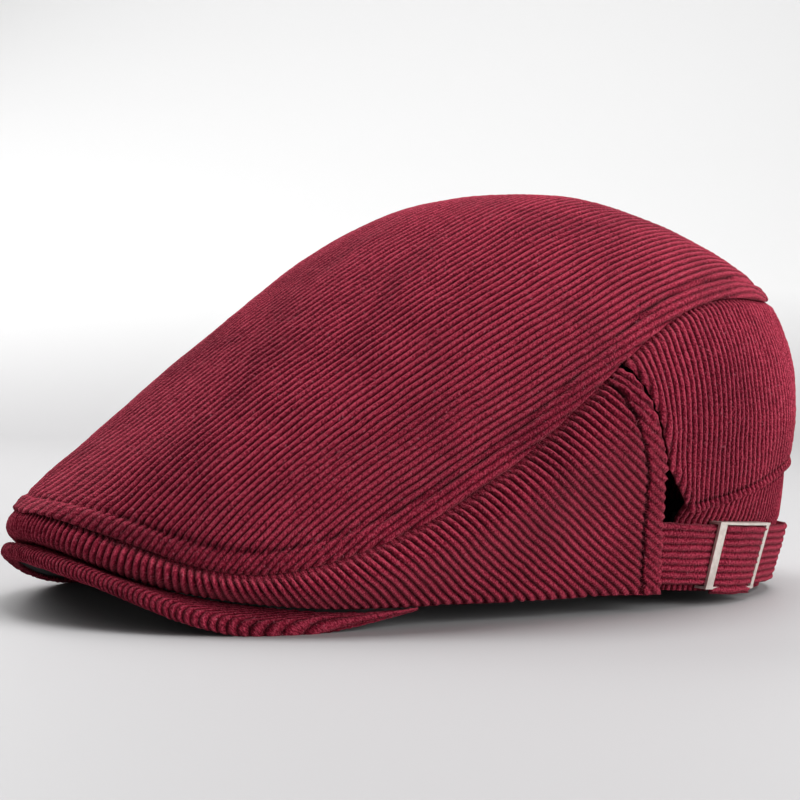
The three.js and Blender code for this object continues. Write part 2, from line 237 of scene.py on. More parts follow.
def strap_path(height, station, depth=0.0):
    height, station, depth = np.broadcast_arrays(*(np.asarray(x, float) for x in (height, station, depth)))
    foot = lower_edge(station)
    angle = np.arctan2(foot[..., 1] - STRAP_AXIS_POINT[1], foot[..., 0] - STRAP_AXIS_POINT[0])
    on_wall = foot + outward(lower_edge, station) * (height * STRAP_LEAN - depth)[..., None]
    on_wall = on_wall + np.array([0, 0, 1.0]) * height[..., None]
    blend = smoothstep(station, STRAP_LEAVES_CONE, STRAP_JOINS_WALL)[..., None]
    return strap_cone(angle, height, depth) * (1 - blend) + on_wall * blend


def side_hem(height):
    return HEM_LOW_STATION - HEM_SLOPE * height - HEM_BEND * np.maximum(0, height - HEM_BEND_HEIGHT)


def back_hem(height):
    return side_hem(height) + PANEL_GAP + BACK_HEM_SPREAD * np.maximum(0, HEM_BEND_HEIGHT - height)


def ridge(station):
    return RIDGE_HEIGHT + RIDGE_RISE * smoothstep(station, *RIDGE_STATIONS)


def back_panel_surface(station, climb, depth=0.0):
    low = ridge(np.asarray(station, float))
    return wall(station, low + (1 - low) * climb, depth)


def back_panel_limits(climb):
    """Both ends of a row of the back panel: each depends on the height there, so they are found in rounds."""
    ends = [HEM_LOW_STATION, RIGHT_SEAM_STATION]
    for _ in range(12):
        low = [ridge(end) for end in ends]
        heights = [value + (1 - value) * climb for value in low]
        ends = [float(back_hem(heights[0])), float(FULL_ROUND - side_hem(heights[1]) - RIGHT_SEAM_GAP)]
    return ends


def band_surface(station, climb, depth=0.0):
    station, climb = np.broadcast_arrays(np.asarray(station, float), np.asarray(climb, float))
    height = BAND_STEP_HEIGHT * np.minimum(climb, BAND_STEP) / BAND_STEP
    lower = strap_path(height, station, BAND_DEPTH + depth)
    tucked = wall(station, ridge(station) + BAND_TUCK, depth + BAND_TUCK_DEPTH)
    over = np.clip((climb - BAND_STEP) / (1 - BAND_STEP), 0, 1)[..., None]
    return lower * (1 - over) + tucked * over


def peak_slice(side):
    side = np.asarray(side, float)
    foot = lower_edge(side * PEAK_INNER_STATION)
    inner = foot - outward(lower_edge, side * PEAK_INNER_STATION) * PEAK_TUCK
    edge = peak_outline(side * PEAK_OUTER_STATION)
    level = (edge - inner) * np.array([1, 1, 0])
    width = np.linalg.norm(level, axis=-1)
    level = level / width[..., None]
    scale = np.minimum(1, width / PEAK_FULL_WIDTH)
    half = scale * PEAK_THICKNESS / 2
    inner = inner.copy()
    inner[..., 2] = foot[..., 2] - PEAK_DROP - half
    roll = edge - level * half[..., None]
    roll[..., 2] += half
    reach = roll - inner
    length = np.linalg.norm(reach, axis=-1)
    reach = reach / length[..., None]
    rise = np.cross(np.cross(level, np.array([0, 0, 1.0])), reach)
    rise = rise / np.linalg.norm(rise, axis=-1, keepdims=True)
    return inner, reach, rise, length, scale, half


def peak_cover_surface(side, travel, depth=0.0):
    """The peak's cover: travel 0 is its lip's end underneath, then round the edge roll and back over to 1."""
    side, travel = np.broadcast_arrays(np.asarray(side, float), 1 - np.asarray(travel, float))
    inner, reach, rise, length, scale, half = peak_slice(side)
    radius = half - depth * scale
    lip = np.minimum(PEAK_LIP * scale, PEAK_LIP_SHARE * length)
    turn = np.pi * np.clip((travel - PEAK_TOP_END) / (PEAK_ROLL_END - PEAK_TOP_END), 0, 1)
    out = length * np.minimum(travel / PEAK_TOP_END, 1) + radius * np.sin(turn)
    out = out - lip * np.clip((travel - PEAK_ROLL_END) / (1 - PEAK_ROLL_END), 0, 1)
    up = radius * np.cos(turn)
    return inner + reach * out[..., None] + rise * up[..., None]


def peak_under_surface(side, out, depth=0.0):
    side, out = np.broadcast_arrays(np.asarray(side, float), np.asarray(out, float))
    inner, reach, rise, length, scale, half = peak_slice(side)
    reached = (length - (PEAK_LIP - PEAK_UNDER_SET_BACK) * scale) * out
    sag = (depth - PEAK_UNDER_SAG) * scale
    return inner + reach * reached[..., None] + rise * sag[..., None]


# ---- Mesh building ----

def mesh(name, points, faces):
    """A mesh object from millimetre points, put where the CAD's pieces are."""
    data = bpy.data.meshes.new(name)
    placed = (np.asarray(points) - np.array([0, 0, SETTLE])) * MM
    placed[:, 2] = np.maximum(placed[:, 2], 0.0)
    data.from_pydata(placed.tolist(), [], faces)
    data.validate()
    data.update()
    data.polygons.foreach_set("use_smooth", [True] * len(data.polygons))
    piece = bpy.data.objects.new(name, data)
    bpy.context.scene.collection.objects.link(piece)
    return piece


def paint(piece, name, values):
    layer = piece.data.attributes.new(name, "FLOAT", "POINT")
    layer.data.foreach_set("value", np.asarray(values, np.float32))


def distance_to(points, curve):
    """Distance of each point from a curve, and the curve's nearest sample."""
    tree = kdtree.KDTree(len(curve))
    for i, point in enumerate(curve):
        tree.insert(point, i)
    tree.balance()
    found = [tree.find(point) for point in points]
    return np.array([f[2] for f in found]), np.array([f[1] for f in found])


def wander(points, size, seed, squeeze=(1, 1, 1)):
    """Smooth noise, about -1 to 1, whose features are about size millimetres across.

    Each kind of unevenness has a seed of its own, so that no two follow each other.
    """
    offset = Vector((seed * 17.3, seed * 5.1, -seed * 9.7))
    scaled = points * np.array(squeeze) / size
    return np.array([noise.noise(Vector(p) + offset) for p in scaled])


def bell(x, width):
    return np.exp(-((x / width) ** 2))


def zip_rows(first, first_at, second, second_at):
    """Triangles between two rows of vertices, given where each vertex is along its row."""
    faces = []
    i = j = 0
    while i < len(first) - 1 or j < len(second) - 1:
        step_first = j == len(second) - 1 or (i < len(first) - 1 and first_at[i + 1] <= second_at[j + 1])
        if step_first:
            faces.append((first[i], first[i + 1], second[j]))
            i += 1
        else:
            faces.append((first[i], second[j + 1], second[j]))
            j += 1
    return faces


ROW_SAMPLES = 700


class Rows:
    """Rows of vertices in columns, each column keeping to one value of the row coordinate."""

    def __init__(self, surface, rows, limits, across, spacing):
        self.faces = []
        measured = []
        for r in rows:
            low, high = limits(r)
            a = np.linspace(low, high, ROW_SAMPLES)
            measured.append((r, a, across(surface(a, r), a, r)))
        first = min(m[2][0] for m in measured)
        last = max(m[2][-1] for m in measured)
        columns = np.arange(math.floor(first / spacing), math.ceil(last / spacing) + 1) * spacing
        self.ids, self.low, self.high = [], [], []
        a_all, r_all, column_all = [], [], []
        count = 0
        for r, a, column in measured:
            low = max(0, int(np.searchsorted(columns, column[0], "right")) - 1)
            high = min(len(columns) - 1, int(np.searchsorted(columns, column[-1], "left")))
            high = max(high, low + 1)
            kept = np.clip(columns[low : high + 1], column[0], column[-1])
            a_all.append(np.interp(kept, column, a))
            column_all.append(kept)
            r_all.append(np.full(len(kept), r))
            self.ids.append(np.arange(count, count + len(kept)))
            self.low.append(low)
            self.high.append(high)
            count += len(kept)
        self.a = np.concatenate(a_all)
        self.r = np.concatenate(r_all)
        self.column = np.concatenate(column_all)
        self.count = count
        for j in range(len(rows) - 1):
            self._join(j)

    def _id(self, j, k):
        return int(self.ids[j][min(max(k, self.low[j]), self.high[j]) - self.low[j]])

    def _join(self, j):
        """Faces between two rows, drawn together to one vertex where only one of the rows has the column."""
        start = min(self.low[j], self.low[j + 1])
        end = max(self.high[j], self.high[j + 1])
        for k in range(start, end):
            corners = [self._id(j, k), self._id(j, k + 1), self._id(j + 1, k + 1), self._id(j + 1, k)]
            face = [c for i, c in enumerate(corners) if c != corners[i - 1]]
            if len(set(face)) >= 3:
                self.faces.append(tuple(face))


def unit(vectors):
    return vectors / np.maximum(np.linalg.norm(vectors, axis=-1, keepdims=True), 1e-12)


def normals_of(points, faces):
    """Area-weighted normals of a mesh given as points and faces."""
    normal = np.zeros_like(points)
    tri = np.array([t for f in faces for t in ((f[0], f[1], f[2]), (f[0], f[2], f[-1])) if t[1] != t[2]])
    a, b, c = points[tri[:, 0]], points[tri[:, 1]], points[tri[:, 2]]
    face_normal = np.cross(b - a, c - a)
    for corner in range(3):
        np.add.at(normal, tri[:, corner], face_normal)
    return unit(normal)


def shell(name, surface, rows, limits, across, spacing, thickness, relief, turns, along, coarse=7.0):
    """A closed piece of cloth round one side of a surface: a fine outer face and a coarse inner one.

    across gives the column coordinate along a row. turns counts the wales across the cloth and along measures
    millimetres down them. relief gives each outer vertex's offset along its normal, its bodily shift, and its
    crush: how far the pile is flattened, or below 0 how deep in shadow it lies.
    """
    outer = Rows(surface, rows, limits, across, spacing)
    base = surface(outer.a, outer.r)
    outer.turns = turns(outer.a, outer.r, outer.column)
    outer.along = along(outer.a, outer.r, base)
    lift, push, crush = relief(base, outer)
    face_points = base + normals_of(base, outer.faces) * lift[:, None] + push

    inner = Rows(surface, rows, limits, across, coarse)
    inner_points = surface(inner.a, inner.r, thickness)
    offset = outer.count
    faces = list(outer.faces)
    faces += [tuple(offset + i for i in reversed(face)) for face in inner.faces]
    last = len(rows) - 1
    for j in range(last):
        a, b = int(outer.ids[j][0]), int(outer.ids[j + 1][0])
        c, d = offset + int(inner.ids[j + 1][0]), offset + int(inner.ids[j][0])
        faces.append((a, b, c, d))
        a, b = int(outer.ids[j][-1]), int(outer.ids[j + 1][-1])
        c, d = offset + int(inner.ids[j + 1][-1]), offset + int(inner.ids[j][-1])
        faces.append((d, c, b, a))
    for j in (0, last):
        outer_ids = [int(i) for i in outer.ids[j]]
        inner_ids = [offset + int(i) for i in inner.ids[j]]
        strip = zip_rows(outer_ids, outer.column[outer.ids[j]], inner_ids, inner.column[inner.ids[j]])
        faces += [tuple(reversed(face)) for face in strip] if j == 0 else strip
    faces = [face for face in faces if len(set(face)) == len(face)]
    piece = mesh(name, np.vstack([face_points, inner_points]), faces)
    inner_along = along(inner.a, inner.r, inner_points)
    paint(piece, "turns", np.concatenate([outer.turns, turns(inner.a, inner.r, inner.column)]))
    paint(piece, "along", np.concatenate([outer.along, inner_along]))
    paint(piece, "crush", np.concatenate([crush, np.ones(inner.count)]))
    return piece


def wale_profile(turns):
    """Height of the pile, 0 in the groove between two wales and 1 along a wale's crown."""
    return np.abs(np.sin(np.pi * turns)) ** 0.7


def arc_from(points, a, zero):
    """Length along a row, measured from where a is zero."""
    step = np.linalg.norm(np.diff(points, axis=0), axis=1)
    length = np.concatenate([[0], np.cumsum(step)])
    return length - np.interp(zero, a, length)


# ---- The back panel's flat pattern: the wall unrolled between its lower edge and the top seam ----

def flat_pattern(stations):
    """Flat places of the lower edge and the seam, laid out strip by strip with their lengths kept."""
    low, high = lower_edge(stations), top_seam(stations)
    flat_low = [np.array([0.0, 0.0])]
    flat_high = [np.array([0.0, np.linalg.norm(high[0] - low[0])])]

    def beyond(p, q, to_p, to_q):
        gap = np.linalg.norm(q - p)
        reach = (to_p**2 - to_q**2 + gap**2) / (2 * gap)
        off = math.sqrt(max(0.0, to_p**2 - reach**2))
        direction = (q - p) / gap
        return p + direction * reach + np.array([direction[1], -direction[0]]) * off

    for i in range(1, len(stations)):
        p, q = flat_low[-1], flat_high[-1]
        new_low = beyond(p, q, np.linalg.norm(low[i] - low[i - 1]), np.linalg.norm(low[i] - high[i - 1]))
        height = np.linalg.norm(high[i] - low[i])
        new_high = beyond(new_low, q, height, np.linalg.norm(high[i] - high[i - 1]))
        flat_low.append(new_low)
        flat_high.append(new_high)
    return np.array(flat_low), np.array(flat_high)


class Pattern:
    """Places (x, y) in a panel's flat pattern, in decimetres, from its station and height."""

    def __init__(self, first, last):
        stations = np.linspace(first, last, 431)
        low, high = flat_pattern(stations)
        order = np.argsort(stations)
        self.stations, self.low, self.high = stations[order], low[order] / 100, high[order] / 100

    def at(self, station, height):
        x, y = (
            np.interp(station, self.stations, self.low[:, i]) * (1 - height)
            + np.interp(station, self.stations, self.high[:, i]) * height
            for i in (0, 1)
        )
        return x, y


# ---- Materials ----

def new_material(name):
    material = bpy.data.materials.new(name)
    material.use_nodes = True
    nodes = material.node_tree.nodes
    links = material.node_tree.links
    return material, nodes, links, nodes["Principled BSDF"]


def add(nodes, kind, **values):
    node = nodes.new(kind)
    for key, value in values.items():
        if hasattr(node, key):
            setattr(node, key, value)
        else:
            node.inputs[key.replace("_", " ")].default_value = value
    return node


def ramp(nodes, stops):
    node = nodes.new("ShaderNodeValToRGB")
    elements = node.color_ramp.elements
    elements[0].position, elements[0].color = stops[0][0], (*stops[0][1], 1)
    elements[1].position, elements[1].color = stops[-1][0], (*stops[-1][1], 1)
    for position, colour in stops[1:-1]:
        elements.new(position).color = (*colour, 1)
    return node


def calculate(nodes, links, operation, *values):
    """One arithmetic node whose inputs are numbers or other nodes' outputs."""
    node = nodes.new("ShaderNodeMath")
    node.operation = operation
    for socket, value in zip(node.inputs, values):
        if isinstance(value, (int, float)):
            socket.default_value = value
        else:
            links.new(value, socket)
    return node.outputs[0]


def corduroy_material():
    """Wine red pile in wales: grooves darkened with painted shade, tufted crowns, and patches where the nap
    lies another way.
    """
    material, nodes, links, shader = new_material("corduroy")

    def math_node(operation, *values):
        return calculate(nodes, links, operation, *values)

    def attribute(name):
        return add(nodes, "ShaderNodeAttribute", attribute_name=name).outputs["Fac"]

    def texture(kind, vector, output, **values):
        node = add(nodes, kind, **values)
        links.new(vector, node.inputs["Vector"])
        return node.outputs[output]

    # The crush attribute holds the pile's flattening and, below 0, painted shade in seams, stitch rows and
    # creases.
    turns, along, crush_and_painted_shade = attribute("turns"), attribute("along"), attribute("crush")
    crush = math_node("MAXIMUM", crush_and_painted_shade, 0.0)
    shade = math_node("MAXIMUM", math_node("MULTIPLY", crush_and_painted_shade, -1.0), 0.0)
    place = nodes.new("ShaderNodeTexCoord").outputs["Object"]
    cloth = nodes.new("ShaderNodeCombineXYZ")
    links.new(math_node("MULTIPLY", turns, WALE), cloth.inputs["X"])
    links.new(math_node("MULTIPLY_ADD", turns, 0.5, along), cloth.inputs["Y"])
    cloth = cloth.outputs["Vector"]

    fibres = texture("ShaderNodeTexNoise", place, "Fac", Scale=1700.0, Detail=2.0, Roughness=0.7)
    tufts = texture(
        "ShaderNodeTexVoronoi", cloth, "Distance", Scale=1.5, Randomness=1.0, voronoi_dimensions="2D",
    )
    gaps = texture("ShaderNodeTexNoise", cloth, "Fac", Scale=0.42, Detail=2.0, noise_dimensions="2D")
    patches = texture(
        "ShaderNodeTexNoise", place, "Fac", Scale=26.0, Detail=6.0, Roughness=0.62, Distortion=0.5,
    )
    specks = texture("ShaderNodeTexNoise", place, "Fac", Scale=1100.0, Detail=1.0)

    wave = math_node("ABSOLUTE", math_node("SINE", math_node("MULTIPLY", turns, math.pi)))
    wave = math_node("POWER", wave, 0.95)
    filled = math_node("MULTIPLY", math_node("SUBTRACT", gaps, 0.45), 1.3)
    filled = math_node("ADD", math_node("MAXIMUM", filled, 0.0), math_node("MULTIPLY", crush, 0.3))
    pile = math_node("ADD", math_node("MULTIPLY", wave, math_node("SUBTRACT", 1.0, filled)), filled)
    tuft = math_node("SUBTRACT", 1.0, tufts)
    height = math_node("MULTIPLY", pile, math_node("MULTIPLY_ADD", tuft, 0.55, 0.58))
    height = math_node("MULTIPLY_ADD", math_node("SUBTRACT", fibres, 0.5), 1.1, height)
    height = math_node("MULTIPLY_ADD", crush, -0.1, height)
    # Painted shade: where the crush attribute is below 0, the colour is darkened and the bump lowered.
    height = math_node("MULTIPLY_ADD", shade, -0.6, height)

    # Colour follows the pile's height: the grooves and the hollows between fibres are darkened as painted
    # shade over the pile's own wine red.
    colour = ramp(nodes, [
        (0.05, (0.016, 0.0006, 0.0022)),
        (0.40, (0.084, 0.0034, 0.0108)),
        (0.70, (0.200, 0.0108, 0.0280)),
        (1.0, (0.400, 0.0420, 0.0770)),
    ])
    links.new(height, colour.inputs["Fac"])

    nap = ramp(nodes, [
        (0.36, (0.66, 0.60, 0.66)),
        (0.50, (0.94, 0.94, 0.94)),
        (0.66, (1.12, 1.15, 1.15)),
    ])
    links.new(patches, nap.inputs["Fac"])
    tint = add(nodes, "ShaderNodeMix", data_type="RGBA", blend_type="MULTIPLY")
    tint.inputs["Factor"].default_value = 1.0
    links.new(colour.outputs["Color"], tint.inputs["A"])
    links.new(nap.outputs["Color"], tint.inputs["B"])
    speckled = add(nodes, "ShaderNodeMix", data_type="RGBA", blend_type="MIX")
    links.new(tint.outputs["Result"], speckled.inputs["A"])
    speckled.inputs["B"].default_value = (0.42, 0.12, 0.16, 1)
    bright = math_node("MULTIPLY", math_node("SUBTRACT", specks, 0.66), 4.0)
    links.new(math_node("MINIMUM", math_node("MAXIMUM", bright, 0.0), 0.6), speckled.inputs["Factor"])
    links.new(speckled.outputs["Result"], shader.inputs["Base Color"])

    bump = add(nodes, "ShaderNodeBump", Strength=1.0, Distance=0.0007)
    links.new(height, bump.inputs["Height"])
    links.new(bump.outputs["Normal"], shader.inputs["Normal"])
    shader.inputs["Roughness"].default_value = 0.95
    shader.inputs["Specular IOR Level"].default_value = 0.05
    shader.inputs["Sheen Weight"].default_value = 0.4
    shader.inputs["Sheen Roughness"].default_value = 0.4
    shader.inputs["Sheen Tint"].default_value = (1.0, 0.20, 0.27, 1)
    return material


def woven_material(name, tone, scale):
    """Plain weave in one tone, its threads about scale to the metre."""
    material, nodes, links, shader = new_material(name)
    place = nodes.new("ShaderNodeTexCoord").outputs["Object"]
    weave = add(
        nodes, "ShaderNodeTexWave", wave_type="BANDS", bands_direction="DIAGONAL",
        Scale=scale, Distortion=0.6,
    )
    links.new(place, weave.inputs["Vector"])
    speck = add(nodes, "ShaderNodeTexNoise", Scale=900.0, Detail=2.0)
    links.new(place, speck.inputs["Vector"])
    blend = add(nodes, "ShaderNodeMath", operation="MULTIPLY")
    links.new(weave.outputs["Fac"], blend.inputs[0])
    links.new(speck.outputs["Fac"], blend.inputs[1])
    colour = ramp(nodes, [(0.0, tuple(t * 0.5 for t in tone)), (0.6, tone)])
    links.new(blend.outputs[0], colour.inputs["Fac"])
    links.new(colour.outputs["Color"], shader.inputs["Base Color"])
    bump = add(nodes, "ShaderNodeBump", Strength=0.3, Distance=0.0003)
    links.new(blend.outputs[0], bump.inputs["Height"])
    links.new(bump.outputs["Normal"], shader.inputs["Normal"])
    shader.inputs["Roughness"].default_value = 0.9
    shader.inputs["Specular IOR Level"].default_value = 0.15
    shader.inputs["Sheen Weight"].default_value = 0.03
    return material


def metal_material():
    """Satin nickel, a little uneven in colour and polish."""
    material, nodes, links, shader = new_material("satin_nickel")
    place = nodes.new("ShaderNodeTexCoord").outputs["Object"]
    scuffs = add(nodes, "ShaderNodeTexNoise", Scale=500.0, Detail=4.0, Roughness=0.6)
    links.new(place, scuffs.inputs["Vector"])
    colour = ramp(nodes, [(0.3, (0.56, 0.49, 0.44)), (0.7, (0.72, 0.66, 0.61))])
    links.new(scuffs.outputs["Fac"], colour.inputs["Fac"])
    links.new(colour.outputs["Color"], shader.inputs["Base Color"])
    rough = add(nodes, "ShaderNodeMapRange", From_Min=0.3, From_Max=0.7, To_Min=0.32, To_Max=0.48)
    links.new(scuffs.outputs["Fac"], rough.inputs["Value"])
    links.new(rough.outputs["Result"], shader.inputs["Roughness"])
    shader.inputs["Metallic"].default_value = 0.6
    return material


corduroy = corduroy_material()
black_cloth = woven_material("black_cloth", (0.009, 0.008, 0.009), 900.0)
sweat_cloth = woven_material("sweatband_cloth", (0.022, 0.02, 0.022), 500.0)
nickel = metal_material()
board_fibre = woven_material("board_fibre", (0.5, 0.48, 0.44), 300.0)


def dress(piece, material, body, slot, *stands_for):
    piece.data.materials.append(material)
    if stands_for:
        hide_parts(*stands_for)
    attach(piece, body)
    return piece


# ---- Corduroy pieces ----

COLUMN_TURNS = 0.25
CROWN_LEVEL = 0.85
FUZZ_SIZE = 1.1
FUZZ_HEIGHT = 0.13
STITCH_IN = 6.5
STITCH_LENGTH = 2.9
STITCH_WIDTH = 0.6
STITCH_SHADE_WIDTH = 0.75
SWELL_IN = 2.6
SWELL_WIDTH = 1.9
SWELL_HEIGHT = 0.2

SEAM_SAMPLE = 0.25
seam_line = top_seam(np.linspace(0, FULL_ROUND, 3000))


def by_column(a, r, column):
    """The wales' count, for a piece whose columns are that count already."""
    return column


def by_height(a, r, points):
    """Millimetres along upright wales."""
    return points[:, 2]


def pile_lift(turns, flattened=0.0):
    """The wales' relief, set so that their crowns lie on the pattern surface."""
    return WALE_RELIEF * (wale_profile(turns) - CROWN_LEVEL) * (1 - flattened)


def fluff(points, seed):
    return wander(points, FUZZ_SIZE, seed) * FUZZ_HEIGHT


def stitch_groove(distance, along, depth):
    """A row of stitches sunk in the cloth, deeper at every stitch, and the cloth's swell beyond it."""
    pucker = 0.75 + 0.25 * np.cos(2 * np.pi * along / STITCH_LENGTH)
    groove = -depth * bell(distance - STITCH_IN, STITCH_WIDTH) * pucker
    return groove + SWELL_HEIGHT * bell(distance - STITCH_IN - SWELL_IN, SWELL_WIDTH)


def stitch_shade(distance):
    """How deep in its own shadow the sunk row of stitches lies."""
    return bell(distance - STITCH_IN, STITCH_SHADE_WIDTH)


def sway(points, seed):
    """How far, in wales, the wales wander from their straight run."""
    return wander(points, 30, seed) * 0.28 + wander(points, 9, seed + 40) * 0.12


# Top panel: on the left its wales lie in slanted planes, fanned out at the brow, and the right carries on.

TOP_GRAIN = np.array([28.0, 19.0, -38.0])
TOP_FAN = 11.0
TOP_HEM = (5.6, 7.6)
TOP_STITCH_DEPTH = 0.95
TOP_PUFF = 0.45
BROW_EASE = 0.9


def top_turns(points, station):
    """Wales counted across a row of the top panel, from wales per decimetre towards x, y and z."""
    x = points[:, 0]
    across = arc_from(points, x, 0.0)
    left = np.abs(points)
    left[:, 1:] = points[:, 1:]
    fan = TOP_FAN * (1 - smoothstep(station, 0.3, 2.6))
    counted = (left @ TOP_GRAIN - fan * np.abs(across)) / 100
    centre = np.interp(0.0, x, counted)
    return centre + np.sign(x) * (counted - centre)


def top_across(points, a, r):
    if np.ptp(points[:, 0]) < 1:
        return np.linspace(0, 1e-3, len(a)) + points[0] @ TOP_GRAIN / 100
    turns = top_turns(points, r) + sway(points, 1)
    return np.maximum.accumulate(turns + 1e-6 * np.arange(len(a)))


centre_stations = np.linspace(0, BACK, 600)
centre_line = crown(0.0, centre_stations)
centre_length = np.concatenate([[0], np.cumsum(np.linalg.norm(np.diff(centre_line, axis=0), axis=1))])


def top_relief(points, rows):
    to_seam, nearest = distance_to(points, seam_line)
    along_seam = nearest * SEAM_SAMPLE
    hem = 1 - smoothstep(to_seam, *TOP_HEM)
    slack = wander(points, 36, 2, (1, 0.6, 1)) * 1.2 + wander(points, 15, 3) * 0.35
    brushed = smoothstep(wander(points, 17, 4, (1, 0.6, 1)), 0.05, 0.5)
    upper = smoothstep(rows.r, 3.0, 5.5)
    flattened = np.clip(0.6 * hem + 0.3 * brushed + 0.15 * upper, 0, 0.8)
    puff = TOP_PUFF * (1 - 0.6 * upper) * np.sin(np.pi * np.clip(to_seam / STITCH_IN, 0, 1)) ** 0.8
    lumps = wander(points, 3.2, 5) * 0.28 * hem
    roll = -0.7 * bell(to_seam, 0.5)
    lift = pile_lift(rows.turns, flattened) + puff + lumps + roll + fluff(points, 6) + slack * (1 - hem)
    lift = lift + stitch_groove(to_seam, along_seam, TOP_STITCH_DEPTH)
    lift = lift - BROW_EASE * (1 - smoothstep(rows.r, 1.8, 3.0))
    out = outward(top_seam, rows.r) * np.where(rows.a[:, None] < 0, np.array([-1, 1, 1]), 1)
    frayed = 0.2 + 0.55 * wale_profile(rows.turns) + 0.25 * wander(points, 1.8, 41)
    reach = frayed * bell(to_seam, 1.2) * (1 - 1.8 * smoothstep(rows.r, 4.6, 6.0))
    crush = np.clip(0.75 * hem + 0.5 * brushed + 0.15 * upper, 0, 1)
    # Painted shade along the sunk stitch row and at the seam's edge, handed on as crush below 0.
    shade = (0.8 + 0.8 * wander(points, 5, 42)) * stitch_shade(to_seam) + 0.6 * bell(to_seam, 0.8)
    return lift, out * reach[:, None], crush - np.clip(shade, 0, 2)


top_panel = shell(
    "top_panel_cloth", crown, np.linspace(0, BACK, 225), lambda r: (-1.0, 1.0), top_across, COLUMN_TURNS,
    CLOTH, top_relief, by_column, lambda a, r, points: np.interp(r, centre_stations, centre_length),
)
dress(top_panel, corduroy, "cap", "corduroy", "top_panel")

# Side panels: cut on a slant. Their wales lie in slanted planes and stand up straighter towards the brow.

SIDE_GRAIN = np.array([10.5, 26.5, 36.5])
SIDE_WALE_RELIEF = 1.5
SIDE_HEM = (5.8, 6.8)
SIDE_STITCH_DEPTH = 1.1
SIDE_ROWS = np.linspace(0, 1, 118)
BROW_TURNS = 27.0
BROW_STATIONS = 1.1
BROW_LEAN = 6.0
EDGE_STEP = 0.01

hem_heights = np.linspace(0, 1, 500)
side_hem_line = wall(side_hem(hem_heights), hem_heights)
HEM_SAMPLE = 0.18
foot_line = lower_edge(np.linspace(0, 4.3, 900))


def side_turns(station, height, points):
    """Wales counted back from the brow, from wales per decimetre towards x, y and z."""
    brow = BROW_TURNS * (1 - np.exp(-station / BROW_STATIONS))
    brow = brow - BROW_LEAN * height * (1 - smoothstep(station, 0.6, 2.4))
    return points @ SIDE_GRAIN / 100 + brow + sway(points, 7)


def side_across(points, a, r):
    turns = side_turns(a, r, points)
    return np.maximum.accumulate(turns + 1e-6 * np.arange(len(a)))


def side_relief(points, rows):
    to_seam, _ = distance_to(points, seam_line)
    to_hem, nearest = distance_to(points, side_hem_line)
    to_foot, _ = distance_to(points, foot_line)
    along_hem = nearest * HEM_SAMPLE
    hem = 1 - smoothstep(to_hem, *SIDE_HEM)
    slack = wander(points, 28, 8) * 0.9 * smoothstep(to_seam, 0, 12)
    brushed = smoothstep(wander(points, 15, 9), 0.15, 0.55)
    flattened = np.clip(0.45 * hem + 0.2 * brushed, 0, 0.8)
    lift = SIDE_WALE_RELIEF * pile_lift(rows.turns, flattened) + fluff(points, 10) + slack
    lift = lift - 1.2 * bell(to_seam, 1.8) - 0.7 * bell(to_hem, 0.5) - 0.8 * bell(to_foot, 0.8)
    lumps = wander(points, 2.2, 11) * 0.7 * hem
    lift = lift + stitch_groove(to_hem, along_hem, SIDE_STITCH_DEPTH) + 0.5 * hem + lumps
    back = unit(wall(rows.a + EDGE_STEP, rows.r) - wall(rows.a - EDGE_STEP, rows.r))
    down = unit(wall(rows.a, rows.r - EDGE_STEP) - wall(rows.a, rows.r + EDGE_STEP))
    scallop = wale_profile(rows.turns)
    frayed = 0.6 * scallop + 0.2 + 0.6 * wander(points, 1.3, 12)
    push = back * (frayed * bell(to_hem, 0.9))[:, None]
    push = push + down * ((0.7 * scallop + 0.3) * bell(to_foot, 0.9))[:, None]
    crush = np.clip(0.9 * hem + 0.3 * brushed, 0, 1)
    # Painted shade along the stitch row by the hem and under the top seam, handed on as crush below 0.
    return lift, push, crush - 1.9 * stitch_shade(to_hem) - 1.0 * bell(to_seam, 1.2)


def side_along(a, r, points):
    """Millimetres along the slanted wales, which fall towards the back."""
    return 0.8 * points[:, 1] - 0.6 * points[:, 2]


side_left = shell(
    "side_panel_left_cloth", wall, SIDE_ROWS, lambda r: (0.002, float(side_hem(r))),
    side_across, COLUMN_TURNS, CLOTH, side_relief, by_column, side_along,
)
dress(side_left, corduroy, "cap", "corduroy", "side_panel_left")

MIRROR = np.array([-1, 1, 1])


def mirrored_wall(a, r, depth=0.0):
    return wall(-np.asarray(a, float), r, depth) * MIRROR


class MirroredRows:
    """A right-hand piece's rows as side_relief() knows them, on the left."""

    def __init__(self, rows):
        self.a, self.r, self.turns, self.along = -rows.a, rows.r, rows.turns, rows.along


def right_relief(points, rows):
    lift, push, crush = side_relief(points * MIRROR, MirroredRows(rows))
    return lift, push * MIRROR, crush


side_right = shell(
    "side_panel_right_cloth", mirrored_wall, SIDE_ROWS, lambda r: (-float(side_hem(r)), -0.002),
    lambda points, a, r: -side_across((points * MIRROR)[::-1], -a[::-1], r)[::-1], COLUMN_TURNS, CLOTH,
    right_relief, lambda a, r, column: -column, side_along,
)
dress(side_right, corduroy, "cap", "corduroy", "side_panel_right")

# Back panel: one piece right round the back, its wales upright.

BACK_WALES = 46.0
BACK_LEAN = (22.0, 10.0)
RIDGE_GROOVE = 3.0
back_pattern = Pattern(BACK, 3.5)
back_hem_line = wall(back_hem(hem_heights), hem_heights)
ridge_stations = np.linspace(4, 8, 1200)
ridge_line = wall(ridge_stations, ridge(ridge_stations))


def back_turns(station, height, points):
    """Wales counted from the centre back, from places in the flat pattern in decimetres."""
    x, y = back_pattern.at(BACK - np.abs(station - BACK), height)
    lean = (BACK_LEAN[0] * y - BACK_LEAN[1] * y**2) * smoothstep(x, 0, 1.1)
    return np.sign(station - BACK) * (BACK_WALES * x - lean) + sway(points, 13)


def back_across(points, a, r):
    low = ridge(a)
    turns = back_turns(a, low + (1 - low) * r, points)
    return np.maximum.accumulate(turns + 1e-6 * np.arange(len(a)))


